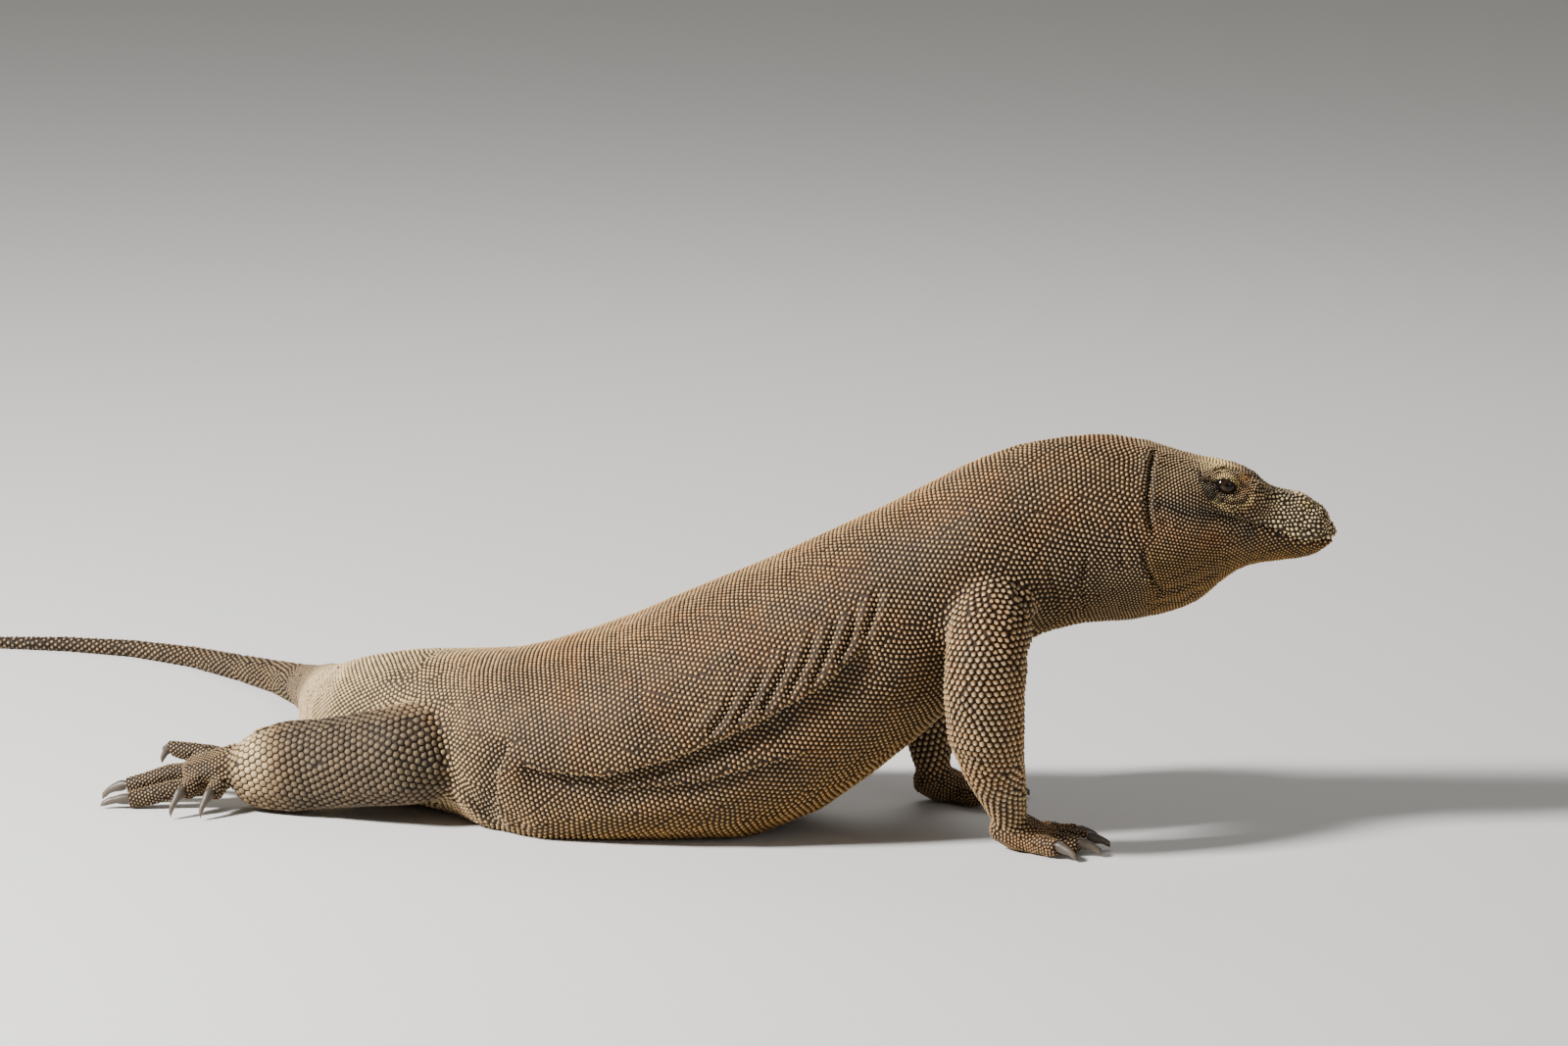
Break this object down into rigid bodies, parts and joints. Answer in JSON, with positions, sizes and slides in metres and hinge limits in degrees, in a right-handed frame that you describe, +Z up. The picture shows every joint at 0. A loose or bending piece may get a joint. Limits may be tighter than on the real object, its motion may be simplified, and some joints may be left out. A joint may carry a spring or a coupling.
{
  "type": "komodo dragon, life-size still model",
  "caption": "Life-size still model of a Komodo dragon lying on its belly, chest raised on its forelegs, one hind leg stretched behind and the tail swept to the left.",
  "frame": {"origin": "on the floor, in the middle of the flat that the belly rests on", "axes": "+X towards the snout, +Y towards the animal's left, +Z up"},
  "size_m": [1.7713, 1.1683, 0.4828],
  "materials": {
    "scaled_hide": "dry beaded scales, tan to grey-brown, dark skin between them",
    "head_hide": "small grey pebble scales, pale on the lips and snout, rust round the eye",
    "claw_horn": "worn grey-beige horn, darker towards the root",
    "eyeball": "wet, dark brown, round pupil"
  },
  "bodies": {
    "root": {"head": "head_hide", "lower_jaw": "head_hide", "eye_right": "eyeball", "eye_left": "eyeball", "neck": "scaled_hide", "chest": "scaled_hide", "belly": "scaled_hide", "hips": "scaled_hide", "tail_base": "scaled_hide", "tail_middle": "scaled_hide", "tail_tip": "scaled_hide", "leg_fore_right_upper": "scaled_hide", "leg_fore_right_lower": "scaled_hide", "foot_fore_right": "scaled_hide", "claw_fore_right_1": "claw_horn", "claw_fore_right_2": "claw_horn", "claw_fore_right_3": "claw_horn", "claw_fore_right_4": "claw_horn", "claw_fore_right_5": "claw_horn", "leg_fore_left_upper": "scaled_hide", "leg_fore_left_lower": "scaled_hide", "foot_fore_left": "scaled_hide", "claw_fore_left_1": "claw_horn", "claw_fore_left_2": "claw_horn", "claw_fore_left_3": "claw_horn", "claw_fore_left_4": "claw_horn", "claw_fore_left_5": "claw_horn", "leg_hind_right_upper": "scaled_hide", "leg_hind_right_lower": "scaled_hide", "foot_hind_right": "scaled_hide", "claw_hind_right_1": "claw_horn", "claw_hind_right_2": "claw_horn", "claw_hind_right_3": "claw_horn", "claw_hind_right_4": "claw_horn", "claw_hind_right_5": "claw_horn", "leg_hind_left_upper": "scaled_hide", "leg_hind_left_lower": "scaled_hide", "foot_hind_left": "scaled_hide", "claw_hind_left_1": "claw_horn", "claw_hind_left_2": "claw_horn", "claw_hind_left_3": "claw_horn", "claw_hind_left_4": "claw_horn", "claw_hind_left_5": "claw_horn"}
  },
  "joints": []
}
